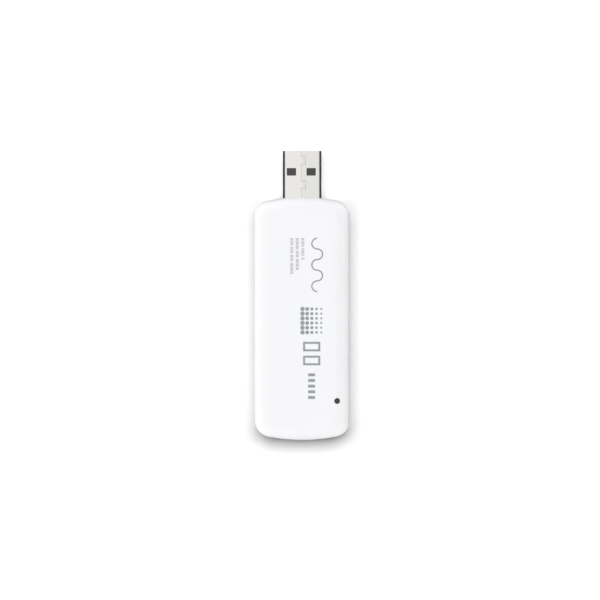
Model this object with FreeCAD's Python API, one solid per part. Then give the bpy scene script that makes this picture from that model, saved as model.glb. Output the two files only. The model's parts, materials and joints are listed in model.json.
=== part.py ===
"""A smart-home radio stick: a flat white pebble with a USB type A plug at one end.

It lies on its front cover with the printed back cover upwards. +Y points the way the plug goes in,
+X to the right seen from above, +Z up. The origin is at the middle of the whole outline, on the
surface that the stick lies on. All sizes are in millimetres.
"""
import FreeCAD
import Part

import math
import os

V = FreeCAD.Vector
UP = V(0, 0, 1)

# Casing: two moulded covers that meet at mid-height.
CASING_LENGTH = 75.5
CASING_WIDTH = 29.4
CASING_HEIGHT = 11.0
CROWN_RADIUS = 55.0        # the shallow arc across each end, seen from above
CORNER_RADIUS = 5.2        # between that arc and the straight sides
EDGE_RUN = 5.0             # how far the rounded edge reaches in over each flat face
EDGE_POWER = 2.7           # superellipse power of that edge: 2 is a plain ellipse
CORNER_SHRINK = 0.7        # share of the corner radius lost on the way up to the flat face
EDGE_SECTION_COUNT = 8
WALL = 1.4
INNER_EDGE_RUN = 4.3

# Joint between the covers: a lip on the front cover in a rebate of the back cover.
LIP_THICKNESS = 0.6
LIP_HEIGHT = 0.8
LIP_CLEARANCE = 0.1
SEAM_DEPTH = 0.2           # fine shadow line round the outside
SEAM_HALF_HEIGHT = 0.07
BEAD_RADIUS = 0.25         # snap beads on the lip, two to a side
BEAD_CLEARANCE = 0.07
BEAD_LENGTH = 6.0
BEAD_SPACING = 36.0

# USB type A plug, a folded sheet.
PLUG_WIDTH = 12.0
PLUG_HEIGHT = 4.5
PLUG_SHEET = 0.3
PLUG_BEND_RADIUS = 0.9
PLUG_EXPOSED = 14.4        # from the casing's end to the plug's mouth
PLUG_INSIDE = 4.5          # from the casing's end to the plug's rear end
PLUG_MOUTH_BEVEL = 0.18
PLUG_OPENING_CLEARANCE = 0.12
WINDOW_WIDTH = 2.88        # latch windows, two in each broad side
WINDOW_LENGTH = 2.34
WINDOW_FROM_MOUTH = 5.45
WINDOW_SPACING = 6.12
WINDOW_CORNER = 0.25
UPPER_SIDE_OFFSET = -0.27  # seam and windows of the upper side sit a little left of the middle
SHEET_SEAM_GAP = 0.06      # where the folded sheet's edges meet
DOVETAIL_NECK = 2.15
DOVETAIL_HEAD = 2.75
DOVETAIL_DEPTH = 1.28
DOVETAILS_FROM_MOUTH = (3.07, 10.6)
LEG_WIDTH = 1.2
LEG_REACH = 1.1
LEG_FROM_REAR = 0.25
LEG_BELOW_BOARD = 0.4
LEG_SLOT_CLEARANCE = 0.12

# Plastic carrier in the plug, and its four contacts.
TONGUE_THICKNESS = 1.95
TONGUE_RECESS = 0.5        # tongue's end behind the plug's mouth
CAVITY_DEPTH = 11.9        # clear depth below the tongue
CARRIER_CLEARANCE = 0.05
CONTACT_WIDTH = 1.0
CONTACT_THICKNESS = 0.25
CONTACT_GROOVE_CLEARANCE = 0.03
CONTACT_TAIL = 1.9
OUTER_CONTACT_RECESS = 1.7
INNER_CONTACT_RECESS = 2.7
OUTER_CONTACT_OFFSET = 3.5
INNER_CONTACT_OFFSET = 1.0
CONTACT_NOSE = 0.12

# Circuit board, its posts and pins, and the ribs that hold the plug.
BOARD_THICKNESS = 1.0
BOARD_GAP = 0.6            # between the board's edge and the casing's inside
NOTCH_CLEARANCE = 0.15
POST_RADIUS = 1.6
POST_INSET = 2.6           # from the board's side to a post's centre
FRONT_POST_FROM_PLUG = 7.0
REAR_POST_FROM_END = 17.0
PIN_RADIUS = 0.75
PIN_RISE = 0.9             # above the board
PIN_CLEARANCE = 0.1
POST_BOARD_CLEARANCE = 0.03
CRADLE_WIDTH = 9.0
CRADLE_THICKNESS = 1.2
CRADLE_CLEARANCE = 0.05

# Recessed button: a tact switch under the small round hole.
HOLE_RADIUS = 0.9
HOLE_FROM_SIDE = 3.83
HOLE_FROM_END = 12.2
HOLE_BEVEL = 0.1
GUIDE_RADIUS = 1.75
GUIDE_GAP = 0.6            # between the guide tube and the switch
SWITCH_WIDTH = 3.2
SWITCH_LENGTH = 4.2
SWITCH_HEIGHT = 1.9
SWITCH_POCKET_RADIUS = 1.35
SWITCH_POCKET_DEPTH = 0.85
SWITCH_SHEET = 0.2
SWITCH_SKIRT = 0.9
SWITCH_SKIRT_INSET = 0.5
STEM_RADIUS = 0.75
STEM_RECESS = 0.55         # stem's end below the casing's face
STEM_CLEARANCE = 0.06
STEM_BEVEL = 0.12
FLANGE_RADIUS = 1.15
FLANGE_HEIGHT = 0.4
FLANGE_CLEARANCE = 0.02
DOME_RADIUS = 1.25
DOME_SHEET = 0.08
TERMINAL_WIDTH = 0.5
TERMINAL_THICKNESS = 0.15
TERMINAL_FOOT = 0.6
TERMINAL_RISE = 0.7
TERMINAL_SPACING = 1.9

# Radio part of the board, under a two-piece shield.
SHIELD_WIDTH = 14.0
SHIELD_LENGTH = 15.0
SHIELD_HEIGHT = 1.8
SHIELD_SHEET = 0.2
SHIELD_FROM_PLUG = 24.5    # shield's front edge behind the plug's rear end
SHIELD_FLANGE = 0.8
SHIELD_LID_CLEARANCE = 0.05
SHIELD_LID_SKIRT = 1.2
VENT_RADIUS = 0.4
VENT_SPACING = 3.0
VENT_COLUMN_COUNT = 3
VENT_ROW_COUNT = 4

# Width, length and height of the parts under the shield, and their places from its middle.
RADIO_CHIP = (5.0, 5.0, 0.85)
RADIO_CHIP_AT = (1.2, 1.6)
RADIO_CRYSTAL = (2.5, 2.0, 0.6)
RADIO_CRYSTAL_AT = (-4.0, 2.6)
ANTENNA_FILTER = (2.0, 1.25, 0.7)
ANTENNA_FILTER_AT = (-4.2, -4.4)
MATCHING_COIL = (0.6, 1.1, 0.5)
MATCHING_COILS_AT = ((-1.8, -4.4), (-0.4, -4.4), (-4.2, -1.6))

# The same for the rest of the board: each place is from the middle line and behind the plug's
# rear end.
USB_CHIP = (4.4, 6.5, 1.0)
USB_CHIP_AT = (0.0, 12.6)
USB_CHIP_PITCH = 0.65
USB_CHIP_LEAD_COUNT = 8    # down each side
MEMORY_CHIP = (3.9, 4.9, 1.45)
MEMORY_CHIP_AT = (0.0, 12.6)
MEMORY_CHIP_PITCH = 1.27
MEMORY_CHIP_LEAD_COUNT = 4
VOLTAGE_REGULATOR = (1.6, 2.9, 1.1)
VOLTAGE_REGULATOR_AT = (-5.4, 4.8)
SURGE_PROTECTOR = (1.6, 2.9, 1.1)
SURGE_PROTECTOR_AT = (0.0, 4.2)
SMALL_PACKAGE_PITCH = 0.95
USB_CRYSTAL = (2.5, 3.2, 0.75)
USB_CRYSTAL_AT = (6.3, 13.5)
POWER_INDUCTOR = (2.0, 2.5, 1.2)
POWER_INDUCTOR_AT = (5.4, 4.4)
CAPACITOR = (0.8, 1.6, 0.8)
CAPACITORS_AT = ((2.9, 5.2), (-2.9, 5.2), (-6.4, 9.6), (6.3, 9.6), (-6.4, 17.0), (6.3, 17.4))
RESISTOR = (0.8, 1.6, 0.45)
RESISTORS_AT = ((1.6, 7.5), (-1.6, 7.5), (-6.4, 13.0), (3.0, 20.0), (-3.0, 20.0))
STATUS_LIGHT = (0.8, 1.6, 0.6)
LEAD_WIDTH = 0.3
LEAD_THICKNESS = 0.15
LEAD_FOOT = 0.5
LEAD_REACH = 0.9
PACKAGE_STANDOFF = 0.1

# Printed antenna, a folded trace across the rear of the board.
TRACE_THICKNESS = 0.05
TRACE_WIDTH = 0.8
TRACE_GAP = 0.8
TRACE_FOLD_COUNT = 10
TRACE_FEED_COUNT = 2       # folds before the one that the feed line comes from
ANTENNA_LENGTH = 5.0
ANTENNA_FROM_END = 4.4
ANTENNA_LEFT = 9.6

# Light well: the front cover is thinned where the status light shines through.
LIGHT_FROM_END = 22.0
LIGHT_WELL_RADIUS = 1.6
LIGHT_WINDOW_WALL = 0.5

# Printed marks on the back cover: plain shapes in fine grey ink. Each place is measured
# from the casing's plug end and from the middle line.
INK_THICKNESS = 0.03
WAVE_X = 4.65              # a thin wave line made of half rings
WAVE_FROM_PLUG_END = 12.9
WAVE_RADIUS = 1.65
WAVE_STROKE = 0.4
WAVE_HALF_COUNT = 5
TICKS_FROM_PLUG_END = 12.9  # three rows of fine ticks, in groups of uneven length
TICK_HEIGHT = 0.95
TICK_THICKNESS = 0.16
TICK_PITCH = 0.4
TICK_GROUP_GAP = 0.4
TICK_ROWS = ((0.19, (2.8, 2.4, 0.8)), (-1.52, (3.6, 2.0, 3.6)), (-3.22, (2.4, 2.0, 2.0, 3.6)))
DOTS_LEFT = 0.1            # a block of dots that shrink from left to right
DOTS_FROM_PLUG_END = 34.8
DOT_PITCH = 1.45
DOT_COLUMN_COUNT = 5
DOT_ROW_COUNT = 6
DOT_GAP = 0.11             # between the largest dots
DOT_SHRINK = 0.09
FRAME_X = 2.95             # two bold frames
FRAMES_FROM_PLUG_END = 46.45
FRAME_PITCH = 4.3
FRAME_WIDTH = 5.3
FRAME_LENGTH = 2.95
FRAME_STROKE = 0.6
BAR_X = 2.92               # a row of short bars
BARS_FROM_PLUG_END = 54.75
BAR_PITCH = 1.75
BAR_WIDTH = 2.15
BAR_LENGTH = 0.9
BAR_COUNT = 5

# Places worked out from the sizes above.
HALF_WIDTH = CASING_WIDTH / 2
HALF_LENGTH = CASING_LENGTH / 2
MID_Z = CASING_HEIGHT / 2
CASING_Y = -PLUG_EXPOSED / 2
PLUG_END_Y = CASING_Y + HALF_LENGTH
REAR_END_Y = CASING_Y - HALF_LENGTH
MOUTH_Y = PLUG_END_Y + PLUG_EXPOSED
PLUG_REAR_Y = PLUG_END_Y - PLUG_INSIDE
PLUG_HALF = PLUG_WIDTH / 2
PLUG_TOP_Z = MID_Z + PLUG_HEIGHT / 2
PLUG_BOTTOM_Z = MID_Z - PLUG_HEIGHT / 2
BOARD_TOP_Z = PLUG_TOP_Z - PLUG_SHEET - TONGUE_THICKNESS
BOARD_BOTTOM_Z = BOARD_TOP_Z - BOARD_THICKNESS
BOARD_MARGIN = WALL + BOARD_GAP
CRADLE_Y = PLUG_REAR_Y + CRADLE_THICKNESS
POST_X = HALF_WIDTH - BOARD_MARGIN - POST_INSET
FRONT_POST_Y = PLUG_REAR_Y - FRONT_POST_FROM_PLUG
REAR_POST_Y = REAR_END_Y + REAR_POST_FROM_END
POST_PLACES = [(side * POST_X, y) for side in (-1, 1) for y in (FRONT_POST_Y, REAR_POST_Y)]
BUTTON_X = HALF_WIDTH - HOLE_FROM_SIDE
BUTTON_Y = REAR_END_Y + HOLE_FROM_END
SWITCH_TOP_Z = BOARD_TOP_Z + SWITCH_HEIGHT
POCKET_Z = SWITCH_TOP_Z - SWITCH_POCKET_DEPTH
FLANGE_TOP_Z = SWITCH_TOP_Z - FLANGE_CLEARANCE
FLANGE_BOTTOM_Z = FLANGE_TOP_Z - FLANGE_HEIGHT
STEM_TOP_Z = CASING_HEIGHT - STEM_RECESS
SHIELD_TOP_Z = BOARD_TOP_Z + SHIELD_HEIGHT
SHIELD_Y = PLUG_REAR_Y - SHIELD_FROM_PLUG - SHIELD_LENGTH / 2
LIGHT_Y = REAR_END_Y + LIGHT_FROM_END


def box(x0, x1, y0, y1, z0, z1):
    """A box between two corners."""
    return Part.makeBox(x1 - x0, y1 - y0, z1 - z0, V(x0, y0, z0))


def block(x, y, width, length, z0, z1):
    """A box centred on x, y."""
    return box(x - width / 2, x + width / 2, y - length / 2, y + length / 2, z0, z1)


def rod(x, y, radius, z0, z1):
    """An upright cylinder."""
    return Part.makeCylinder(radius, z1 - z0, V(x, y, z0), UP)


def union(first, *others):
    """One solid from several that touch or overlap."""
    return first.fuse(list(others)).removeSplitter()


def tube_along_y(width, height, radius, y0, y1):
    """A bar along Y about the plug's centre line, with its four long edges rounded."""
    bar = box(-width / 2, width / 2, y0, y1, MID_Z - height / 2, MID_Z + height / 2)
    long_edges = [e for e in bar.Edges if abs(e.tangentAt(e.FirstParameter).y) > 0.99]
    return bar.makeFillet(radius, long_edges)


def under_board(shape):
    """The same part turned over to sit on the board's underside."""
    return shape.mirror(V(0, 0, (BOARD_TOP_Z + BOARD_BOTTOM_Z) / 2), UP)


def casing_outline(inset, corner, z):
    """The casing's outline: straight sides, a shallow arc across each end, four corner arcs."""
    half_x = HALF_WIDTH - inset
    half_y = HALF_LENGTH - inset
    crown = CROWN_RADIUS - inset
    corner_x = half_x - corner
    crown_y = half_y - crown
    corner_y = crown_y + math.sqrt((crown - corner) ** 2 - corner_x ** 2)
    reach = crown / (crown - corner)
    touch_x = corner_x * reach
    touch_y = crown_y + (corner_y - crown_y) * reach
    half_turn = math.atan2(touch_y - corner_y, touch_x - corner_x) / 2
    knee_x = corner_x + corner * math.cos(half_turn)
    knee_y = corner_y + corner * math.sin(half_turn)

    def at(x, y):
        return V(x, CASING_Y + y, z)

    pieces = [
        Part.LineSegment(at(half_x, -corner_y), at(half_x, corner_y)),
        Part.Arc(at(half_x, corner_y), at(knee_x, knee_y), at(touch_x, touch_y)),
        Part.Arc(at(touch_x, touch_y), at(0, half_y), at(-touch_x, touch_y)),
        Part.Arc(at(-touch_x, touch_y), at(-knee_x, knee_y), at(-half_x, corner_y)),
        Part.LineSegment(at(-half_x, corner_y), at(-half_x, -corner_y)),
        Part.Arc(at(-half_x, -corner_y), at(-knee_x, -knee_y), at(-touch_x, -touch_y)),
        Part.Arc(at(-touch_x, -touch_y), at(0, -half_y), at(touch_x, -touch_y)),
        Part.Arc(at(touch_x, -touch_y), at(knee_x, -knee_y), at(half_x, -corner_y)),
    ]
    return Part.Wire([piece.toShape() for piece in pieces])


def casing_slab(margin, z0, z1):
    """A slab with the casing's outline, a margin inside it all round."""
    outline = casing_outline(margin, CORNER_RADIUS - margin, z0)
    return Part.Face(outline).extrude(V(0, 0, z1 - z0))


def casing_ring(outer_margin, inner_margin, z0, z1):
    """A ring between two margins inside the casing's outline."""
    return casing_slab(outer_margin, z0, z1).cut(casing_slab(inner_margin, z0, z1))


def half_pebble(margin, run, rise, side):
    """Half of the pebble, from the parting plane to a flat face: side 1 is up, -1 is down."""
    sections = []
    for step in range(EDGE_SECTION_COUNT + 1):
        angle = math.pi / 2 * step / EDGE_SECTION_COUNT
        across = max(math.cos(angle), 0.0) ** (2 / EDGE_POWER)
        height = math.sin(angle) ** (2 / EDGE_POWER)
        inset = margin + run * (1 - across)
        corner = (CORNER_RADIUS - margin) * (1 - CORNER_SHRINK * (1 - across))
        sections.append(casing_outline(inset, corner, MID_Z + side * rise * height))
    return Part.makeLoft(sections, True, False)


def hollow_half(side):
    """A cover before its details: its full outer form, and that form hollowed to the wall."""
    outer = half_pebble(0, EDGE_RUN, MID_Z, side)
    inner = half_pebble(WALL, INNER_EDGE_RUN, MID_Z - WALL, side)
    return outer, outer.cut(inner)


def plug_opening():
    """The slot in the casing's end that the plug passes through."""
    width = PLUG_WIDTH + 2 * PLUG_OPENING_CLEARANCE
    height = PLUG_HEIGHT + 2 * PLUG_OPENING_CLEARANCE
    radius = PLUG_BEND_RADIUS + PLUG_OPENING_CLEARANCE
    return tube_along_y(width, height, radius, CRADLE_Y + CRADLE_THICKNESS / 2, MOUTH_Y)


def beads(clearance):
    """Snap beads along the lip's outer face, or with a clearance the grooves they snap into."""
    x = HALF_WIDTH - WALL + LIP_THICKNESS
    z = MID_Z + LIP_HEIGHT / 2
    length = BEAD_LENGTH + 2 * clearance
    return [
        Part.makeCylinder(
            BEAD_RADIUS + clearance,
            length,
            V(side * x, CASING_Y + end * BEAD_SPACING / 2 - length / 2, z),
            V(0, 1, 0),
        )
        for side in (-1, 1)
        for end in (-1, 1)
    ]


def make_back_cover():
    """The printed cover, on top, with four hold-down posts, a clamp and the button's guide tube."""
    outer, cover = hollow_half(1)
    inside = [
        rod(x, y, POST_RADIUS, BOARD_TOP_Z + POST_BOARD_CLEARANCE, CASING_HEIGHT)
        for x, y in POST_PLACES
    ]
    guide_z = SWITCH_TOP_Z + SWITCH_SHEET + GUIDE_GAP
    inside.append(rod(BUTTON_X, BUTTON_Y, GUIDE_RADIUS, guide_z, CASING_HEIGHT))
    clamp_z = PLUG_TOP_Z + CRADLE_CLEARANCE
    inside.append(block(0, CRADLE_Y, CRADLE_WIDTH, CRADLE_THICKNESS, clamp_z, CASING_HEIGHT))
    cover = union(cover, *[outer.common(piece) for piece in inside])
    rebate = casing_ring(
        WALL - LIP_THICKNESS - LIP_CLEARANCE,
        WALL + LIP_CLEARANCE,
        MID_Z,
        MID_Z + LIP_HEIGHT + LIP_CLEARANCE,
    )
    seam = casing_ring(-SEAM_DEPTH, SEAM_DEPTH, MID_Z, MID_Z + SEAM_HALF_HEIGHT)
    socket_z = BOARD_TOP_Z + PIN_RISE + PIN_CLEARANCE
    sockets = [rod(x, y, PIN_RADIUS + PIN_CLEARANCE, BOARD_TOP_Z, socket_z) for x, y in POST_PLACES]
    hole = rod(BUTTON_X, BUTTON_Y, HOLE_RADIUS, MID_Z, CASING_HEIGHT + WALL)
    bevel_z = CASING_HEIGHT - 2 * HOLE_BEVEL
    bevel = Part.makeCone(
        HOLE_RADIUS, HOLE_RADIUS + 3 * HOLE_BEVEL, 3 * HOLE_BEVEL, V(BUTTON_X, BUTTON_Y, bevel_z), UP
    )
    return cover.cut([rebate, seam, plug_opening(), hole, bevel] + sockets + beads(BEAD_CLEARANCE))


def make_front_cover():
    """The plain cover, underneath, with the lip, the board's posts and pins and the plug's rest."""
    outer, cover = hollow_half(-1)
    inside = [rod(x, y, POST_RADIUS, 0, BOARD_BOTTOM_Z) for x, y in POST_PLACES]
    rest_z = PLUG_BOTTOM_Z - CRADLE_CLEARANCE
    inside.append(block(0, CRADLE_Y, CRADLE_WIDTH, CRADLE_THICKNESS, 0, rest_z))
    inside = [outer.common(piece) for piece in inside]
    pins = [rod(x, y, PIN_RADIUS, BOARD_BOTTOM_Z, BOARD_TOP_Z + PIN_RISE) for x, y in POST_PLACES]
    lip = casing_ring(WALL - LIP_THICKNESS, WALL, MID_Z, MID_Z + LIP_HEIGHT)
    cover = union(cover, lip, *inside, *pins, *beads(0))
    seam = casing_ring(-SEAM_DEPTH, SEAM_DEPTH, MID_Z - SEAM_HALF_HEIGHT, MID_Z)
    light_well = rod(0, LIGHT_Y, LIGHT_WELL_RADIUS, LIGHT_WINDOW_WALL, MID_Z)
    return cover.cut([seam, plug_opening(), light_well])


def sheet_seam():
    """The line where the folded sheet meets on the upper side, with its two dovetails."""
    x = UPPER_SIDE_OFFSET
    path = [(x, MOUTH_Y)]
    for distance in DOVETAILS_FROM_MOUTH:
        y = MOUTH_Y - distance
        path.append((x, y + DOVETAIL_NECK / 2))
        path.append((x + DOVETAIL_DEPTH, y + DOVETAIL_HEAD / 2))
        path.append((x + DOVETAIL_DEPTH, y - DOVETAIL_HEAD / 2))
        path.append((x, y - DOVETAIL_NECK / 2))
    path.append((x, PLUG_REAR_Y))
    strips = []
    for (x0, y0), (x1, y1) in zip(path, path[1:]):
        length = math.hypot(x1 - x0, y1 - y0)
        along = V(x1 - x0, y1 - y0, 0) * (SHEET_SEAM_GAP / 2 / length)
        aside = V(-along.y, along.x, 0)
        start = V(x0, y0, MID_Z) - along
        end = V(x1, y1, MID_Z) + along
        corners = [start + aside, end + aside, end - aside, start - aside, start + aside]
        strip = Part.Face(Part.makePolygon(corners)).extrude(V(0, 0, PLUG_HEIGHT))
        strips.append(strip)
    return strips


def latch_windows(middle, z):
    """The two windows of one broad side, cut through the sheet at height z."""
    y = MOUTH_Y - WINDOW_FROM_MOUTH - WINDOW_LENGTH / 2
    windows = []
    for side in (-1, 1):
        x = middle + side * WINDOW_SPACING / 2
        window = block(x, y, WINDOW_WIDTH, WINDOW_LENGTH, z - PLUG_SHEET, z + PLUG_SHEET)
        uprights = [e for e in window.Edges if abs(e.tangentAt(e.FirstParameter).z) > 0.99]
        windows.append(window.makeFillet(WINDOW_CORNER, uprights))
    return windows


def leg(side, clearance):
    """A leg bent out of the shell's side and down through the board, or with a clearance its slot."""
    outer_x = PLUG_HALF + LEG_REACH + clearance
    inner_x = outer_x - PLUG_SHEET - 2 * clearance
    y0 = PLUG_REAR_Y + LEG_FROM_REAR - clearance
    y1 = PLUG_REAR_Y + LEG_FROM_REAR + LEG_WIDTH + clearance
    x0, x1 = sorted((side * inner_x, side * outer_x))
    return box(x0, x1, y0, y1, BOARD_BOTTOM_Z - LEG_BELOW_BOARD, BOARD_TOP_Z + PLUG_SHEET)


def make_plug_shell():
    """The plug's metal shell, one folded sheet with windows, a dovetailed seam and two legs."""
    outer = tube_along_y(PLUG_WIDTH, PLUG_HEIGHT, PLUG_BEND_RADIUS, PLUG_REAR_Y, MOUTH_Y)
    mouth_edges = [e for e in outer.Edges if e.BoundBox.YMin > MOUTH_Y - PLUG_MOUTH_BEVEL]
    outer = outer.makeChamfer(PLUG_MOUTH_BEVEL, mouth_edges)
    inner = tube_along_y(
        PLUG_WIDTH - 2 * PLUG_SHEET,
        PLUG_HEIGHT - 2 * PLUG_SHEET,
        PLUG_BEND_RADIUS - PLUG_SHEET,
        PLUG_REAR_Y - PLUG_SHEET,
        MOUTH_Y + PLUG_SHEET,
    )
    shell = outer.cut(inner)
    legs = []
    for side in (-1, 1):
        x0, x1 = sorted((side * (PLUG_HALF - PLUG_SHEET), side * (PLUG_HALF + LEG_REACH)))
        y0 = PLUG_REAR_Y + LEG_FROM_REAR
        legs.append(box(x0, x1, y0, y0 + LEG_WIDTH, BOARD_TOP_Z, BOARD_TOP_Z + PLUG_SHEET))
        legs.append(leg(side, 0))
    shell = union(shell, *legs)
    windows = latch_windows(UPPER_SIDE_OFFSET, PLUG_TOP_Z) + latch_windows(0, PLUG_BOTTOM_Z)
    return shell.cut(windows + sheet_seam())


CONTACTS = {
    "contact_power": (OUTER_CONTACT_OFFSET, OUTER_CONTACT_RECESS),
    "contact_data_minus": (INNER_CONTACT_OFFSET, INNER_CONTACT_RECESS),
    "contact_data_plus": (-INNER_CONTACT_OFFSET, INNER_CONTACT_RECESS),
    "contact_ground": (-OUTER_CONTACT_OFFSET, OUTER_CONTACT_RECESS),
}


def make_plug_carrier():
    """The black plastic in the plug: a block at the rear and a tongue against the upper side."""
    width = PLUG_WIDTH - 2 * PLUG_SHEET - 2 * CARRIER_CLEARANCE
    height = PLUG_HEIGHT - 2 * PLUG_SHEET
    radius = PLUG_BEND_RADIUS - PLUG_SHEET
    carrier = tube_along_y(width, height, radius, PLUG_REAR_Y, MOUTH_Y - TONGUE_RECESS)
    cavity = box(-PLUG_HALF, PLUG_HALF, MOUTH_Y - CAVITY_DEPTH, MOUTH_Y, PLUG_BOTTOM_Z, BOARD_TOP_Z)
    grooves = []
    for x, recess in CONTACTS.values():
        half = CONTACT_WIDTH / 2 + CONTACT_GROOVE_CLEARANCE
        end = MOUTH_Y - recess + CONTACT_GROOVE_CLEARANCE
        top = BOARD_TOP_Z + CONTACT_THICKNESS
        grooves.append(box(x - half, x + half, PLUG_REAR_Y, end, BOARD_TOP_Z, top))
    return carrier.cut([cavity] + grooves)


def make_contact(x, recess):
    """A contact strip: flush with the tongue's underside, its tail flat on the board."""
    front = MOUTH_Y - recess
    top = BOARD_TOP_Z + CONTACT_THICKNESS
    half = CONTACT_WIDTH / 2
    strip = box(x - half, x + half, PLUG_REAR_Y - CONTACT_TAIL, front, BOARD_TOP_Z, top)
    nose = [e for e in strip.Edges if e.BoundBox.YMin > front - CONTACT_NOSE
            and e.BoundBox.ZMax < BOARD_TOP_Z + CONTACT_NOSE]
    return strip.makeChamfer(CONTACT_NOSE, nose)


def make_circuit_board():
    """The board: the casing's outline with a notch for the plug, pin holes and leg slots."""
    board = casing_slab(BOARD_MARGIN, BOARD_BOTTOM_Z, BOARD_TOP_Z)
    notch_x = PLUG_HALF + NOTCH_CLEARANCE
    notch_y = PLUG_REAR_Y - NOTCH_CLEARANCE
    notch = box(-notch_x, notch_x, notch_y, PLUG_END_Y, BOARD_BOTTOM_Z, BOARD_TOP_Z)
    pin_hole = PIN_RADIUS + PIN_CLEARANCE
    holes = [rod(x, y, pin_hole, BOARD_BOTTOM_Z, BOARD_TOP_Z) for x, y in POST_PLACES]
    slots = [leg(side, LEG_SLOT_CLEARANCE) for side in (-1, 1)]
    return board.cut([notch] + holes + slots)


def behind_plug(place):
    """A place on the board, given behind the plug's rear end."""
    x, distance = place
    return x, PLUG_REAR_Y - distance


def under_shield(place):
    """A place on the board, given from the shield's middle."""
    x, offset = place
    return x, SHIELD_Y + offset


def chip(place, size):
    """A plain package, flat on the board."""
    x, y = place
    width, length, height = size
    return block(x, y, width, length, BOARD_TOP_Z, BOARD_TOP_Z + height)


def chips(places, size):
    """Several like packages."""
    return Part.makeCompound([chip(place, size) for place in places])


def lead_row(count, pitch):
    """Offsets of the leads down one side of a package."""
    return [(place - (count - 1) / 2) * pitch for place in range(count)]


def leaded_chip(place, size, left, right):
    """A moulded package with bent leads down both long sides, at the offsets given for each."""
    x, y = place
    width, length, height = size
    package = block(x, y, width, length, BOARD_TOP_Z + PACKAGE_STANDOFF, BOARD_TOP_Z + height)
    edge = width / 2
    foot_end = edge + LEAD_REACH
    shank = foot_end - LEAD_FOOT
    knee_z = BOARD_TOP_Z + height / 2
    runs = (
        (edge - LEAD_FOOT, shank + LEAD_THICKNESS, knee_z, knee_z + LEAD_THICKNESS),
        (shank, shank + LEAD_THICKNESS, BOARD_TOP_Z, knee_z + LEAD_THICKNESS),
        (shank, foot_end, BOARD_TOP_Z, BOARD_TOP_Z + LEAD_THICKNESS),
    )
    leads = []
    for side, offsets in ((-1, left), (1, right)):
        for offset in offsets:
            y0 = y + offset - LEAD_WIDTH / 2
            for near, far, z0, z1 in runs:
                x0, x1 = sorted((x + side * near, x + side * far))
                leads.append(box(x0, x1, y0, y0 + LEAD_WIDTH, z0, z1))
    return union(package, *leads)


def make_shield_frame():
    """The shield's frame: a wall soldered to the board, with a narrow flange turned in at its top."""
    width = SHIELD_WIDTH - 2 * (SHIELD_SHEET + SHIELD_LID_CLEARANCE)
    length = SHIELD_LENGTH - 2 * (SHIELD_SHEET + SHIELD_LID_CLEARANCE)
    top = SHIELD_TOP_Z - SHIELD_SHEET
    frame = block(0, SHIELD_Y, width, length, BOARD_TOP_Z, top)
    room = block(
        0, SHIELD_Y, width - 2 * SHIELD_SHEET, length - 2 * SHIELD_SHEET, BOARD_TOP_Z, top - SHIELD_SHEET
    )
    mouth = block(0, SHIELD_Y, width - 2 * SHIELD_FLANGE, length - 2 * SHIELD_FLANGE, BOARD_TOP_Z, top)
    return frame.cut([room, mouth])


def make_shield_lid():
    """The shield's snap-on lid, with a skirt round the frame and a grid of vents."""
    lid = block(
        0, SHIELD_Y, SHIELD_WIDTH, SHIELD_LENGTH, SHIELD_TOP_Z - SHIELD_LID_SKIRT, SHIELD_TOP_Z
    )
    under = SHIELD_TOP_Z - SHIELD_SHEET
    room_width = SHIELD_WIDTH - 2 * SHIELD_SHEET
    room_length = SHIELD_LENGTH - 2 * SHIELD_SHEET
    room = block(0, SHIELD_Y, room_width, room_length, BOARD_TOP_Z, under)
    vents = []
    for column in range(VENT_COLUMN_COUNT):
        x = (column - (VENT_COLUMN_COUNT - 1) / 2) * VENT_SPACING
        for row in range(VENT_ROW_COUNT):
            y = SHIELD_Y + (row - (VENT_ROW_COUNT - 1) / 2) * VENT_SPACING
            vents.append(rod(x, y, VENT_RADIUS, under, SHIELD_TOP_Z))
    return lid.cut([room] + vents)


def make_antenna():
    """The printed antenna at the rear of the board, and its feed line to the shield."""
    y0 = REAR_END_Y + ANTENNA_FROM_END
    y1 = y0 + ANTENNA_LENGTH
    z0 = BOARD_TOP_Z
    z1 = z0 + TRACE_THICKNESS
    pitch = TRACE_WIDTH + TRACE_GAP
    feed_end = SHIELD_Y - SHIELD_LENGTH / 2
    strips = [box(-ANTENNA_LEFT, TRACE_WIDTH - ANTENNA_LEFT, y0, y1, z0, z1)]
    for fold in range(TRACE_FOLD_COUNT):
        x = fold * pitch - ANTENNA_LEFT
        strips.append(box(x + pitch, x + pitch + TRACE_WIDTH, y0, y1, z0, z1))
        end = y0 if fold % 2 else y1 - TRACE_WIDTH
        strips.append(box(x, x + pitch + TRACE_WIDTH, end, end + TRACE_WIDTH, z0, z1))
    feed_x = TRACE_FEED_COUNT * pitch - ANTENNA_LEFT
    strips.append(box(feed_x, feed_x + TRACE_WIDTH, y0, feed_end, z0, z1))
    return union(*strips)


def make_switch_base():
    """The button's switch: a plastic base with a round pocket for the snap dome."""
    base = block(BUTTON_X, BUTTON_Y, SWITCH_WIDTH, SWITCH_LENGTH, BOARD_TOP_Z, SWITCH_TOP_Z)
    return base.cut(rod(BUTTON_X, BUTTON_Y, SWITCH_POCKET_RADIUS, POCKET_Z, SWITCH_TOP_Z))


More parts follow.
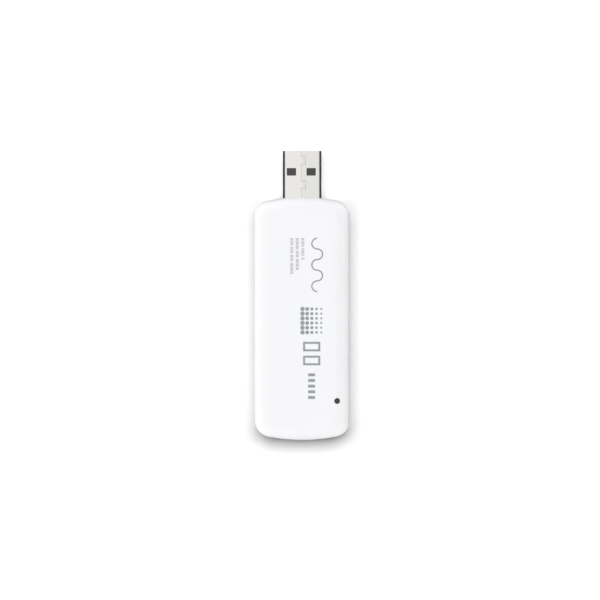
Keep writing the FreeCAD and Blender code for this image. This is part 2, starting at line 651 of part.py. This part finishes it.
def make_switch_terminals():
    """Four bent terminals at the base's two ends, with flat feet on the board."""
    terminals = []
    for side in (-1, 1):
        for end in (-1, 1):
            x = BUTTON_X + side * TERMINAL_SPACING / 2
            near = SWITCH_LENGTH / 2
            runs = (
                (near + TERMINAL_FOOT, BOARD_TOP_Z + TERMINAL_THICKNESS),
                (near + TERMINAL_THICKNESS, BOARD_TOP_Z + TERMINAL_RISE),
            )
            strips = []
            for far, top in runs:
                y0, y1 = sorted((BUTTON_Y + end * near, BUTTON_Y + end * far))
                strips.append(
                    box(x - TERMINAL_WIDTH / 2, x + TERMINAL_WIDTH / 2, y0, y1, BOARD_TOP_Z, top)
                )
            terminals.append(union(*strips))
    return Part.makeCompound(terminals)


def make_switch_dome():
    """The snap dome: a thin sprung cap that stands on its rim in the pocket."""
    rise = FLANGE_BOTTOM_Z - FLANGE_CLEARANCE - POCKET_Z
    radius = (DOME_RADIUS ** 2 + rise ** 2) / (2 * rise)
    centre = V(BUTTON_X, BUTTON_Y, POCKET_Z + rise - radius)
    ball = Part.makeSphere(radius, centre).cut(Part.makeSphere(radius - DOME_SHEET, centre))
    return ball.common(rod(BUTTON_X, BUTTON_Y, SWITCH_POCKET_RADIUS, POCKET_Z, SWITCH_TOP_Z))


def make_switch_stem():
    """The moving stem: a flange on the dome and a long round stem up into the cover's hole."""
    flange = rod(BUTTON_X, BUTTON_Y, FLANGE_RADIUS, FLANGE_BOTTOM_Z, FLANGE_TOP_Z)
    stem = rod(BUTTON_X, BUTTON_Y, STEM_RADIUS, FLANGE_BOTTOM_Z, STEM_TOP_Z)
    top_edge = [e for e in stem.Edges if e.BoundBox.ZMin > STEM_TOP_Z - STEM_BEVEL]
    return union(flange, stem.makeChamfer(STEM_BEVEL, top_edge))


def make_switch_cover():
    """The metal plate that holds the stem's flange down, hooked over the base's two long sides."""
    outer_width = SWITCH_WIDTH + 2 * SWITCH_SHEET
    top = SWITCH_TOP_Z + SWITCH_SHEET
    plate = block(BUTTON_X, BUTTON_Y, outer_width, SWITCH_LENGTH, SWITCH_TOP_Z, top)
    skirts = []
    skirt_length = SWITCH_LENGTH - 2 * SWITCH_SKIRT_INSET
    for side in (-1, 1):
        x = BUTTON_X + side * (SWITCH_WIDTH + SWITCH_SHEET) / 2
        skirts.append(block(x, BUTTON_Y, SWITCH_SHEET, skirt_length, top - SWITCH_SKIRT, top))
    cover = union(plate, *skirts)
    return cover.cut(rod(BUTTON_X, BUTTON_Y, STEM_RADIUS + STEM_CLEARANCE, SWITCH_TOP_Z, top))


def make_wave(z0, z1):
    """A thin wave line made of half rings, alternately to either side."""
    halves = []
    for place in range(WAVE_HALF_COUNT):
        y = PLUG_END_Y - WAVE_FROM_PLUG_END - (2 * place + 1) * WAVE_RADIUS
        disc = rod(WAVE_X, y, WAVE_RADIUS + WAVE_STROKE / 2, z0, z1)
        ring = disc.cut(rod(WAVE_X, y, WAVE_RADIUS - WAVE_STROKE / 2, z0, z1))
        side = 1 if place % 2 else -1
        x0, x1 = sorted((WAVE_X, WAVE_X + side * 2 * WAVE_RADIUS))
        halves.append(ring.common(box(x0, x1, y - 2 * WAVE_RADIUS, y + 2 * WAVE_RADIUS, z0, z1)))
    return [union(*halves)]


def make_ticks(z0, z1):
    """Three rows of fine ticks, like the graduations of a scale, in groups of uneven length."""
    ticks = []
    for x, lengths in TICK_ROWS:
        y = PLUG_END_Y - TICKS_FROM_PLUG_END - TICK_THICKNESS / 2
        for length in lengths:
            for place in range(round(length / TICK_PITCH)):
                ticks.append(block(x, y - place * TICK_PITCH, TICK_HEIGHT, TICK_THICKNESS, z0, z1))
            y -= length + TICK_GROUP_GAP
    return ticks


def make_dots(z0, z1):
    """A block of dots that shrink from left to right."""
    dots = []
    for column in range(DOT_COLUMN_COUNT):
        radius = (DOT_PITCH - DOT_GAP) / 2 - column * DOT_SHRINK
        for row in range(DOT_ROW_COUNT):
            y = PLUG_END_Y - DOTS_FROM_PLUG_END - row * DOT_PITCH
            dots.append(rod(DOTS_LEFT + column * DOT_PITCH, y, radius, z0, z1))
    return dots


def make_frames(z0, z1):
    """Two bold frames."""
    frames = []
    for place in range(2):
        y = PLUG_END_Y - FRAMES_FROM_PLUG_END - place * FRAME_PITCH
        outer = block(FRAME_X, y, FRAME_WIDTH, FRAME_LENGTH, z0, z1)
        inner_width = FRAME_WIDTH - 2 * FRAME_STROKE
        inner_length = FRAME_LENGTH - 2 * FRAME_STROKE
        frames.append(outer.cut(block(FRAME_X, y, inner_width, inner_length, z0, z1)))
    return frames


def make_bars(z0, z1):
    """A row of short bars."""
    bars = []
    for place in range(BAR_COUNT):
        y = PLUG_END_Y - BARS_FROM_PLUG_END - BAR_LENGTH / 2 - place * BAR_PITCH
        bars.append(block(BAR_X, y, BAR_WIDTH, BAR_LENGTH, z0, z1))
    return bars


def make_print():
    """All printed marks, a thin film of ink on the back cover's flat face."""
    z0 = CASING_HEIGHT
    z1 = z0 + INK_THICKNESS
    marks = make_wave(z0, z1) + make_ticks(z0, z1) + make_dots(z0, z1)
    return Part.makeCompound(marks + make_frames(z0, z1) + make_bars(z0, z1))


def main():
    """Builds every piece and writes it to its own file."""
    three = lead_row(3, SMALL_PACKAGE_PITCH)
    outer_two = [three[0], three[-1]]
    usb_leads = lead_row(USB_CHIP_LEAD_COUNT, USB_CHIP_PITCH)
    memory_leads = lead_row(MEMORY_CHIP_LEAD_COUNT, MEMORY_CHIP_PITCH)
    regulator_at = behind_plug(VOLTAGE_REGULATOR_AT)
    protector_at = behind_plug(SURGE_PROTECTOR_AT)
    memory_at = behind_plug(MEMORY_CHIP_AT)
    pieces = {
        "back_cover": make_back_cover(),
        "front_cover": make_front_cover(),
        "plug_shell": make_plug_shell(),
        "plug_carrier": make_plug_carrier(),
        "circuit_board": make_circuit_board(),
        "shield_frame": make_shield_frame(),
        "shield_lid": make_shield_lid(),
        "radio_chip": chip(under_shield(RADIO_CHIP_AT), RADIO_CHIP),
        "radio_crystal": chip(under_shield(RADIO_CRYSTAL_AT), RADIO_CRYSTAL),
        "antenna_filter": chip(under_shield(ANTENNA_FILTER_AT), ANTENNA_FILTER),
        "matching_coils": chips(map(under_shield, MATCHING_COILS_AT), MATCHING_COIL),
        "antenna_trace": make_antenna(),
        "usb_chip": leaded_chip(behind_plug(USB_CHIP_AT), USB_CHIP, usb_leads, usb_leads),
        "usb_crystal": chip(behind_plug(USB_CRYSTAL_AT), USB_CRYSTAL),
        "voltage_regulator": leaded_chip(regulator_at, VOLTAGE_REGULATOR, three, outer_two),
        "surge_protector": leaded_chip(protector_at, SURGE_PROTECTOR, three, three),
        "power_inductor": chip(behind_plug(POWER_INDUCTOR_AT), POWER_INDUCTOR),
        "capacitors": chips(map(behind_plug, CAPACITORS_AT), CAPACITOR),
        "resistors": chips(map(behind_plug, RESISTORS_AT), RESISTOR),
        "memory_chip": under_board(
            leaded_chip(memory_at, MEMORY_CHIP, memory_leads, memory_leads)
        ),
        "status_light": under_board(chip((0, LIGHT_Y), STATUS_LIGHT)),
        "switch_base": make_switch_base(),
        "switch_terminals": make_switch_terminals(),
        "switch_dome": make_switch_dome(),
        "switch_stem": make_switch_stem(),
        "switch_cover": make_switch_cover(),
        "printed_marks": make_print(),
    }
    for name, (x, recess) in CONTACTS.items():
        pieces[name] = make_contact(x, recess)
    os.makedirs("parts", exist_ok=True)
    for name, shape in pieces.items():
        shape.exportStep("parts/" + name + ".step")


main()
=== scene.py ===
"""Looks of a smart home radio stick: a white moulded casing with a USB plug at one end."""
import json
import math

import bpy
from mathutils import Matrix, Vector


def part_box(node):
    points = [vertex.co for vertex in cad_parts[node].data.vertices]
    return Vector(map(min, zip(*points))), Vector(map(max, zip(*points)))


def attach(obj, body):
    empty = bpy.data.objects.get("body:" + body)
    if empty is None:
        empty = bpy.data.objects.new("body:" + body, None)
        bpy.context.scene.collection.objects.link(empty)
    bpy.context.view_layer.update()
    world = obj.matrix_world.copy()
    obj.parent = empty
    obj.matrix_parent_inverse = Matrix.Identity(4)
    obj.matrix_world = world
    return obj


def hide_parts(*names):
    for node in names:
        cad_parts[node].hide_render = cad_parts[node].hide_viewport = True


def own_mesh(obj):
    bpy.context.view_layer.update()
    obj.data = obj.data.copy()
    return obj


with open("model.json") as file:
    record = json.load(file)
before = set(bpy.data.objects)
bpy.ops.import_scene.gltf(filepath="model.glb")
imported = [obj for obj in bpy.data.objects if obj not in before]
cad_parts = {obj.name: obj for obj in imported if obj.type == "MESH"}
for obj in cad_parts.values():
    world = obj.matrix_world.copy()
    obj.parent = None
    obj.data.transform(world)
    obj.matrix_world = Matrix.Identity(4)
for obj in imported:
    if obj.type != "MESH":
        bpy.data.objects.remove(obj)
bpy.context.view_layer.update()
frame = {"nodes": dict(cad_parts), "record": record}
MM = 0.001


def linear(hex_colour):
    """An sRGB hex colour as Blender's linear RGBA."""
    channels = [int(hex_colour[i:i + 2], 16) / 255 for i in (1, 3, 5)]
    return [c / 12.92 if c <= 0.04045 else ((c + 0.055) / 1.055) ** 2.4 for c in channels] + [1.0]


def material(name):
    """A new material, with its node tree empty."""
    made = bpy.data.materials.new(name)
    made.use_nodes = True
    made.node_tree.nodes.clear()
    return made


def node(tree, kind, inputs=None, **settings):
    """Adds a node. An input takes a plain value, a socket, or a node for its first output."""
    made = tree.nodes.new(kind)
    for name, value in settings.items():
        setattr(made, name, value)
    for name, value in (inputs or {}).items():
        by_name = [s for s in made.inputs if s.name == name and s.enabled]
        socket = by_name[0] if by_name else made.inputs[name]
        if isinstance(value, bpy.types.Node):
            value = next(s for s in value.outputs if s.enabled)
        if isinstance(value, bpy.types.NodeSocket):
            tree.links.new(value, socket)
        else:
            socket.default_value = value
    return made


# Finishes of the casing and the plug.

def moulded_abs():
    # White ABS from a spark-eroded mould: a fine even grain that softens the shine, and a
    # tone that drifts very slightly where the melt has flowed.
    made = material("moulded white ABS")
    tree = made.node_tree
    place = node(tree, "ShaderNodeTexCoord").outputs["Object"]
    # The real grain is about 0.05 mm. It is drawn at 0.3 mm so that it shows.
    grain = node(tree, "ShaderNodeTexNoise", {
        "Vector": place, "Scale": 1 / (0.3 * MM), "Detail": 2.0, "Roughness": 0.6})
    bump = node(tree, "ShaderNodeBump", {"Height": grain, "Strength": 0.25, "Distance": 0.012 * MM})
    flow = node(tree, "ShaderNodeTexNoise", {"Vector": place, "Scale": 1 / (14 * MM), "Detail": 1.0})
    tone = node(tree, "ShaderNodeMix", {
        "Factor": flow, "A": linear("#EFF0F2"), "B": linear("#F2F2F4")}, data_type="RGBA")
    shine = node(tree, "ShaderNodeMapRange", {
        "Value": grain, "From Min": 0.3, "From Max": 0.7, "To Min": 0.36, "To Max": 0.46})
    shader = node(tree, "ShaderNodeBsdfPrincipled", {
        "Base Color": tone, "Roughness": shine, "IOR": 1.53, "Normal": bump})
    node(tree, "ShaderNodeOutputMaterial", {"Surface": shader})
    return made


def nickel_plated_steel():
    # Bright nickel on drawn steel sheet: long faint draw lines from end to end, a slightly
    # warm grey, and the dull rubs near the mouth that sockets leave.
    made = material("nickel-plated drawn steel")
    tree = made.node_tree
    place = node(tree, "ShaderNodeTexCoord").outputs["Object"]
    # Real draw lines are 0.02 mm apart. They are drawn at 0.15 mm so that they show.
    along = node(tree, "ShaderNodeMapping", {
        "Vector": place, "Scale": (1 / (0.15 * MM), 1 / (9 * MM), 1 / (0.15 * MM))})
    lines = node(tree, "ShaderNodeTexNoise", {"Vector": along, "Scale": 1.0, "Detail": 2.0})
    bump = node(tree, "ShaderNodeBump", {"Height": lines, "Strength": 0.12, "Distance": 0.006 * MM})
    # The sheet's two ends meet on the middle line. The right half is a little darker: painted shade, for
    # the light that falls off on that side.
    across = node(tree, "ShaderNodeSeparateXYZ", {"Vector": place})
    painted_shade_half = node(tree, "ShaderNodeMapRange", {
        "Value": across.outputs["X"], "From Min": -0.05 * MM, "From Max": 0.05 * MM})
    tone = node(tree, "ShaderNodeMix", {
        "Factor": painted_shade_half, "A": linear("#EAE8E4"), "B": linear("#E4E3DF")}, data_type="RGBA")
    # A rub is about 0.4 mm wide and 7 mm long.
    rubbed = node(tree, "ShaderNodeMapping", {
        "Vector": place, "Scale": (1 / (0.4 * MM), 1 / (7 * MM), 1 / (0.4 * MM))})
    rubs = node(tree, "ShaderNodeTexNoise", {"Vector": rubbed, "Scale": 1.0, "Detail": 3.0})
    worn = node(tree, "ShaderNodeMapRange", {
        "Value": rubs, "From Min": 0.55, "From Max": 0.75, "To Min": 0.0, "To Max": 0.1})
    near_mouth = node(tree, "ShaderNodeMapRange", {
        "Value": across.outputs["Y"], "From Min": 34 * MM, "From Max": 44 * MM})
    wear = node(tree, "ShaderNodeMath", {0: worn, 1: near_mouth}, operation="MULTIPLY")
    fine = node(tree, "ShaderNodeMapRange", {
        "Value": lines, "From Min": 0.3, "From Max": 0.7, "To Min": 0.1, "To Max": 0.15})
    shine = node(tree, "ShaderNodeMath", {0: fine, 1: wear}, operation="ADD")
    shader = node(tree, "ShaderNodeBsdfPrincipled", {
        "Base Color": tone, "Metallic": 1.0, "Roughness": shine, "Normal": bump})
    node(tree, "ShaderNodeOutputMaterial", {"Surface": shader})
    return made


def pad_printed_ink():
    # Grey ink laid down by a soft pad: matt, a little thin in places, so that the tone
    # varies from stroke to stroke.
    made = material("pad-printed grey ink")
    tree = made.node_tree
    place = node(tree, "ShaderNodeTexCoord").outputs["Object"]
    cover = node(tree, "ShaderNodeTexNoise", {"Vector": place, "Scale": 1 / (0.9 * MM), "Detail": 4.0})
    tone = node(tree, "ShaderNodeMix", {
        "Factor": cover, "A": linear("#8F9196"), "B": linear("#9C9FA5")}, data_type="RGBA")
    # The ink's real grit is about 0.03 mm. It is drawn at 0.12 mm so that it shows.
    grit = node(tree, "ShaderNodeTexNoise", {"Vector": place, "Scale": 1 / (0.12 * MM), "Detail": 1.0})
    bump = node(tree, "ShaderNodeBump", {"Height": grit, "Strength": 0.2, "Distance": 0.004 * MM})
    shader = node(tree, "ShaderNodeBsdfPrincipled", {
        "Base Color": tone, "Roughness": 0.55, "IOR": 1.5, "Normal": bump})
    node(tree, "ShaderNodeOutputMaterial", {"Surface": shader})
    return made


# Finishes of the parts inside.

def filled_moulding(name, colour, fleck, fleck_size, roughness, ior):
    """A moulding or a fired body whose filler shows as paler flecks and dulls the surface."""
    # Real filler grains are 0.03 mm and finer. They are drawn coarser so that they show.
    made = material(name)
    tree = made.node_tree
    place = node(tree, "ShaderNodeTexCoord").outputs["Object"]
    filler = node(tree, "ShaderNodeTexNoise", {"Vector": place, "Scale": 1 / fleck_size, "Detail": 3.0})
    flecks = node(tree, "ShaderNodeMapRange", {"Value": filler, "From Min": 0.5, "From Max": 0.72})
    tone = node(tree, "ShaderNodeMix", {
        "Factor": flecks, "A": linear(colour), "B": linear(fleck)}, data_type="RGBA")
    bump = node(tree, "ShaderNodeBump", {"Height": filler, "Strength": 0.3, "Distance": 0.1 * fleck_size})
    dull = node(tree, "ShaderNodeMapRange", {
        "Value": filler, "To Min": roughness - 0.06, "To Max": roughness + 0.06})
    shader = node(tree, "ShaderNodeBsdfPrincipled", {
        "Base Color": tone, "Roughness": dull, "IOR": ior, "Normal": bump})
    node(tree, "ShaderNodeOutputMaterial", {"Surface": shader})
    return made


def rolled_metal(name, colour, stain, line_width, roughness):
    """A plated or bare metal strip: rolling lines along the stick and a slow drift in tone."""
    # Real rolling lines are about 0.01 mm apart. They are drawn coarser so that they show, and
    # a line is 25 times as long as it is wide.
    made = material(name)
    tree = made.node_tree
    place = node(tree, "ShaderNodeTexCoord").outputs["Object"]
    along = node(tree, "ShaderNodeMapping", {
        "Vector": place, "Scale": (1 / line_width, 1 / (25 * line_width), 1 / line_width)})
    lines = node(tree, "ShaderNodeTexNoise", {"Vector": along, "Scale": 1.0, "Detail": 2.0})
    bump = node(tree, "ShaderNodeBump", {"Height": lines, "Strength": 0.2, "Distance": 0.05 * line_width})
    drift = node(tree, "ShaderNodeTexNoise", {"Vector": place, "Scale": 1 / (2.5 * MM), "Detail": 3.0})
    tone = node(tree, "ShaderNodeMix", {
        "Factor": drift, "A": linear(colour), "B": linear(stain)}, data_type="RGBA")
    shine = node(tree, "ShaderNodeMapRange", {
        "Value": lines, "To Min": roughness - 0.07, "To Max": roughness + 0.07})
    shader = node(tree, "ShaderNodeBsdfPrincipled", {
        "Base Color": tone, "Metallic": 1.0, "Roughness": shine, "Normal": bump})
    node(tree, "ShaderNodeOutputMaterial", {"Surface": shader})
    return made


def masked_laminate():
    # Glass-cloth laminate under green solder mask: a glossy skin through which the weave
    # shows as a faint square check.
    made = material("glass laminate with solder mask")
    tree = made.node_tree
    place = node(tree, "ShaderNodeTexCoord").outputs["Object"]
    # Yarns of such cloth lie 0.5 mm apart. At a scale of 1 the texture's bands are pi / 10 apart.
    yarns = math.pi / 10 / (0.5 * MM)
    warp = node(tree, "ShaderNodeTexWave", {
        "Vector": place, "Scale": yarns, "Distortion": 0.4}, bands_direction="X")
    weft = node(tree, "ShaderNodeTexWave", {
        "Vector": place, "Scale": yarns, "Distortion": 0.4}, bands_direction="Y")
    weave = node(tree, "ShaderNodeMath", {0: warp, 1: weft}, operation="MULTIPLY")
    tone = node(tree, "ShaderNodeMix", {
        "Factor": weave, "A": linear("#14532F"), "B": linear("#1C6A3D")}, data_type="RGBA")
    bump = node(tree, "ShaderNodeBump", {"Height": weave, "Strength": 0.15, "Distance": 0.01 * MM})
    shader = node(tree, "ShaderNodeBsdfPrincipled", {
        "Base Color": tone, "Roughness": 0.3, "IOR": 1.55, "Normal": bump})
    node(tree, "ShaderNodeOutputMaterial", {"Surface": shader})
    return made


def cast_resin():
    # Clear epoxy resin cast round the light's chip: glassy and a little milky.
    made = material("cast clear epoxy resin")
    tree = made.node_tree
    place = node(tree, "ShaderNodeTexCoord").outputs["Object"]
    haze = node(tree, "ShaderNodeTexNoise", {"Vector": place, "Scale": 1 / (0.4 * MM), "Detail": 2.0})
    tone = node(tree, "ShaderNodeMix", {
        "Factor": haze, "A": linear("#EFEBD8"), "B": linear("#F7F4E6")}, data_type="RGBA")
    shine = node(tree, "ShaderNodeMapRange", {"Value": haze, "To Min": 0.08, "To Max": 0.2})
    shader = node(tree, "ShaderNodeBsdfPrincipled", {
        "Base Color": tone, "Roughness": shine, "IOR": 1.53, "Transmission Weight": 0.6})
    node(tree, "ShaderNodeOutputMaterial", {"Surface": shader})
    return made


FINISHES = {
    "casing_plastic": moulded_abs(),
    "plug_steel": nickel_plated_steel(),
    "ink_grey": pad_printed_ink(),
    # Black PBT with short glass fibre: a dull black with small grey streaks.
    "carrier_plastic": filled_moulding("moulded black PBT", "#363434", "#424040", 0.25 * MM, 0.5, 1.57),
    # Hard gold on rolled bronze: a warm, even shine.
    "contact_gold": rolled_metal("gold-plated bronze strip", "#E2B65A", "#D6A447", 0.08 * MM, 0.2),
    "board_laminate": masked_laminate(),
    # Etched copper foil, browned by the air, with the tooth of the foil left on it.
    "antenna_copper": rolled_metal("etched copper foil", "#C67C4E", "#A9633C", 0.15 * MM, 0.32),
    # Tinplate: a pale grey with soft cloudy patches.
    "shield_tin": rolled_metal("tinned steel sheet", "#CFD1D2", "#B9BCBE", 0.3 * MM, 0.3),
    # Moulding epoxy full of fine silica: charcoal grey and matt.
    "chip_epoxy": filled_moulding("moulded chip epoxy", "#2B2C2E", "#3C3D40", 0.12 * MM, 0.6, 1.55),
    # The can of a quartz crystal: nickel silver, lapped to a satin shine.
    "crystal_can": rolled_metal("satin nickel silver can", "#D3CFC4", "#C3BFB4", 0.1 * MM, 0.26),
    # Fired capacitor ceramic: a tan, chalky body.
    "ceramic_tan": filled_moulding("fired capacitor ceramic", "#A48765", "#B79B79", 0.1 * MM, 0.5, 1.7),
    # Thick-film resistor under black glaze: smooth, with a weak shine.
    "resistor_black": filled_moulding("glazed resistor film", "#1D1E20", "#26282B", 0.15 * MM, 0.3, 1.6),
    "light_resin": cast_resin(),
    # Black nylon of the switch: darker and smoother than the contact block.
    "switch_plastic": filled_moulding("moulded black nylon", "#303032", "#3B3B3E", 0.2 * MM, 0.42, 1.53),
    # Stainless spring strip: cool grey, bright and finely rolled.
    "spring_steel": rolled_metal("stainless spring strip", "#C9CBCD", "#BDBFC2", 0.06 * MM, 0.22),
}
slot_of = {part["node"]: part["material_slot"] for part in frame["record"]["subparts"]}
for name, thing in frame["nodes"].items():
    thing.data.materials.clear()
    thing.data.materials.append(FINISHES[slot_of[name]])


def squeezable_dome():
    """The snap dome again, as a piece of its own on the stick's body."""
    solid = frame["nodes"]["switch_dome"]
    made = bpy.data.objects.new("sprung_dome", solid.data.copy())
    bpy.context.collection.objects.link(made)
    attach(made, "stick")
    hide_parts("switch_dome")
    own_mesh(made)


squeezable_dome()

# Studio. Its places are taken from the casing and the plug.
casing_low, casing_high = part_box("back_cover")
casing_side = casing_high.x
casing_middle = (casing_low.y + casing_high.y) / 2
plug_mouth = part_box("plug_shell")[1].y
PLUG_SIDE = 6 * MM             # half the plug's standard width, as it stands out of the casing
FLAT = (0, 0, 0)
FACING_SIDE = (0, math.pi / 2, 0)
FACING_MOUTH = (math.pi / 2, 0, 0)


def plane(name, width, height, place, turn, finish):
    """A flat sheet of the studio, which isn't part of the stick."""
    bpy.ops.object.select_all(action="DESELECT")
    bpy.ops.mesh.primitive_plane_add(size=1.0, location=place, rotation=turn)
    made = bpy.context.object
    made.name = name
    made.scale = (width, height, 1.0)
    bpy.ops.object.transform_apply(location=True, rotation=True, scale=True)
    made.data.materials.append(finish)
    return made


def seen_directly(tree):
    """1 for what the camera, a mirror or glass shows, and 0 for the light that falls on things."""
    path = node(tree, "ShaderNodeLightPath")
    mirrored = node(tree, "ShaderNodeMath", {
        0: path.outputs["Is Camera Ray"], 1: path.outputs["Is Glossy Ray"]}, operation="MAXIMUM")
    return node(tree, "ShaderNodeMath", {
        0: mirrored, 1: path.outputs["Is Transmission Ray"]}, operation="MAXIMUM")


def backdrop_paper():
    # White paper. To the eye it glows a little away from the stick and along the casing's
    # sides, and more at the plug. This is painted light that lifts the shadow beside the casing
    # and wipes out the plug's shadow, and painted shade close to the stick where the glow is
    # weak, so that it is pure white but for the casing's soft shadow.
    made = material("white backdrop paper with painted light")
    tree = made.node_tree
    place = node(tree, "ShaderNodeTexCoord").outputs["Object"]
    away = node(tree, "ShaderNodeVectorMath", {"Vector": place}, operation="ABSOLUTE")
    outline = (casing_side, plug_mouth, 0)
    past = node(tree, "ShaderNodeVectorMath", {0: away, 1: outline}, operation="SUBTRACT")
    outside = node(tree, "ShaderNodeVectorMath", {0: past, 1: (0, 0, 0)}, operation="MAXIMUM")
    # The painted shade of the weak glow reaches twice as far to the sides as to the ends.
    weighed = node(tree, "ShaderNodeVectorMath", {0: outside, 1: (0.5, 1.0, 1.0)}, operation="MULTIPLY")
    distance = node(tree, "ShaderNodeVectorMath", {0: weighed}, operation="LENGTH")
    # Painted shade: the glow grows from the outline out to 8 mm, so the paper is darker close to the
    # stick.
    far = node(tree, "ShaderNodeMapRange", {
        "Value": distance.outputs["Value"], "From Max": 8 * MM, "To Min": 0.01, "To Max": 0.41})
    across = node(tree, "ShaderNodeSeparateXYZ", {"Vector": away})
    # Painted light along the casing's sides, which lifts its shadow there.
    painted_light_at_side = node(tree, "ShaderNodeMapRange", {
        "Value": across.outputs["X"], "From Min": casing_side - 5.7 * MM,
        "From Max": casing_side + 0.3 * MM, "To Max": 0.13})
    along = node(tree, "ShaderNodeSeparateXYZ", {"Vector": place})
    # Painted light at the plug end, which wipes out the plug's shadow.
    painted_light_at_plug = node(tree, "ShaderNodeMapRange", {
        "Value": along.outputs["Y"], "From Min": casing_high.y - 3 * MM,
        "From Max": casing_high.y + 3 * MM, "To Max": 0.35})
    painted_light_beside = node(tree, "ShaderNodeMath", {0: painted_light_at_side, 1: painted_light_at_plug}, operation="MAXIMUM")
    strength = node(tree, "ShaderNodeMath", {0: far, 1: painted_light_beside}, operation="ADD")
    sheet = node(tree, "ShaderNodeBsdfDiffuse", {"Color": linear("#FFFFFF")})
    glow = node(tree, "ShaderNodeEmission", {"Strength": strength})
    bright = node(tree, "ShaderNodeAddShader", {0: sheet, 1: glow})
    shown = node(tree, "ShaderNodeMixShader", {0: seen_directly(tree), 1: sheet, 2: bright})
    node(tree, "ShaderNodeOutputMaterial", {"Surface": shown})
    return made


def plain_stock(name, tone):
    """Card stock of one tone: 0 is black and 1 is white."""
    made = material(name)
    shade = node(made.node_tree, "ShaderNodeEmission", {"Strength": tone})
    node(made.node_tree, "ShaderNodeOutputMaterial", {"Surface": shade})
    return made


def graded_stock(name, axis, start, end, tone_start, tone_end):
    """Card stock whose tone changes along an axis, from one place to another."""
    made = material(name)
    tree = made.node_tree
    where = node(tree, "ShaderNodeTexCoord").outputs["Object"]
    place = node(tree, "ShaderNodeSeparateXYZ", {"Vector": where}).outputs[axis]
    tone = node(tree, "ShaderNodeMapRange", {
        "Value": place, "From Min": start, "From Max": end, "To Min": tone_start, "To Max": tone_end})
    shade = node(tree, "ShaderNodeEmission", {"Strength": tone})
    node(tree, "ShaderNodeOutputMaterial", {"Surface": shade})
    return made


def dark_cards():
    """Cards that only the shine sees. As in a white studio, they give the bright sheet its dark
    rims and the casing a darker right rim. Where a card pales, the plug still looks like metal
    from the sides."""
    above_paper = 0.1 * MM
    velvet = plain_stock("black velvet", 0.02)
    pale_foot = graded_stock("black card with a pale foot", "Z", 0.0, 4 * MM, 0.15, 0.02)
    pale_top = graded_stock("black card that pales upwards", "Z", 0.0, 200 * MM, 0.03, 0.15)
    pale_end = graded_stock(
        "black card with a pale end", "Y", plug_mouth - 1 * MM, plug_mouth + 5 * MM, 0.02, 0.3)
    beside_casing = (casing_side + 4.8 * MM, casing_middle, above_paper)
    cards = [
        plane("card_front", 400 * MM, 100 * MM, (0, 350 * MM, 50 * MM), FACING_MOUTH, velvet),
        plane("card_casing", 9 * MM, 74 * MM, beside_casing, FLAT, velvet),
    ]
    for side in (-1, 1):
        low = (side * (PLUG_SIDE + 7.1 * MM), plug_mouth + 1.5 * MM, above_paper)
        near = (side * (PLUG_SIDE + 8 * MM), plug_mouth - 7.5 * MM, 4 * MM)
        far = (side * 350 * MM, 40 * MM, 400 * MM)
        cards += [
            plane("card_low", 14 * MM, 35 * MM, low, FLAT, pale_end),
            plane("card_near", 8 * MM, 17 * MM, near, FACING_SIDE, pale_foot),
            plane("card_far", 800 * MM, 150 * MM, far, FACING_SIDE, pale_top),
        ]
    for card in cards:
        card.visible_camera = False
        card.visible_diffuse = False
        card.visible_transmission = False
        card.visible_shadow = False


floor = plane("floor", 4.0, 4.0, (0, 0, 0), FLAT, backdrop_paper())
dark_cards()

# The room is plain white to the eye and a weak light on the stick.
world = bpy.data.worlds.new("studio")
bpy.context.scene.world = world
world.use_nodes = True
tree = world.node_tree
tree.nodes.clear()
strength = node(tree, "ShaderNodeMapRange", {"Value": seen_directly(tree), "To Min": 0.03, "To Max": 1.0})
sky = node(tree, "ShaderNodeBackground", {"Color": (1, 1, 1, 1), "Strength": strength})
node(tree, "ShaderNodeOutputWorld", {"Surface": sky})


def lamp(name, width, height, watts, place):
    """A softbox that looks at the stick."""
    data = bpy.data.lights.new(name, "AREA")
    data.shape = "ELLIPSE"
    data.size = width
    data.size_y = height
    data.energy = watts
    made = bpy.data.objects.new(name, data)
    bpy.context.collection.objects.link(made)
    made.location = place
    made.rotation_euler = (-Vector(place)).to_track_quat("-Z", "Y").to_euler()
    made.visible_camera = False
    made.visible_glossy = False
    return made


# The key stands high over the plug end. The low fills only lift the sides of the stick: they
# are kept off the paper, and their light doesn't bounce on to it.
lamp("softbox over the plug end", 3.4, 2.4, 101.5, (-0.04, 1.24, 3.76))
lamp("softbox high on the left", 1.4, 1.4, 19, (-1.76, 0.0, 3.60))
lamp("softbox high on the right", 1.4, 1.4, 10.5, (1.76, 0.0, 3.60))
off_paper = bpy.data.collections.new("lit by the fills")
off_paper.objects.link(floor)
off_paper.collection_objects[0].light_linking.link_state = "EXCLUDE"
for name, watts, place in (
    ("low fill at the closed end", 4.7, (0.0, -0.98, 0.17)),
    ("low fill at the plug end", 2.2, (0.0, 0.98, 0.17)),
    ("low fill on the left", 5.1, (-0.98, 0.0, 0.17)),
    ("low fill on the right", 2.8, (0.90, 0.0, 0.43)),
):
    fill = lamp(name, 0.6, 0.2, watts, place)
    fill.light_linking.receiver_collection = off_paper
    fill.data.cycles.max_bounces = 0

# The photograph looks straight down on the stick, a little off its middle. The scale is that
# at the joint between the covers, half way up.
PHOTO_PIXELS = 600
PIXELS_PER_MM = 3.214
MIDDLE_OF_PHOTO = (-0.67 * MM, -1.47 * MM)
DISTANCE = 1.2
data = bpy.data.cameras.new("camera")
data.sensor_width = 36.0
data.lens = data.sensor_width * DISTANCE / (PHOTO_PIXELS / PIXELS_PER_MM * MM)
data.clip_start = 0.01
camera = bpy.data.objects.new("camera", data)
bpy.context.collection.objects.link(camera)
camera.location = (*MIDDLE_OF_PHOTO, casing_low.z + DISTANCE)
bpy.context.scene.camera = camera
bpy.context.scene.view_settings.view_transform = "Standard"
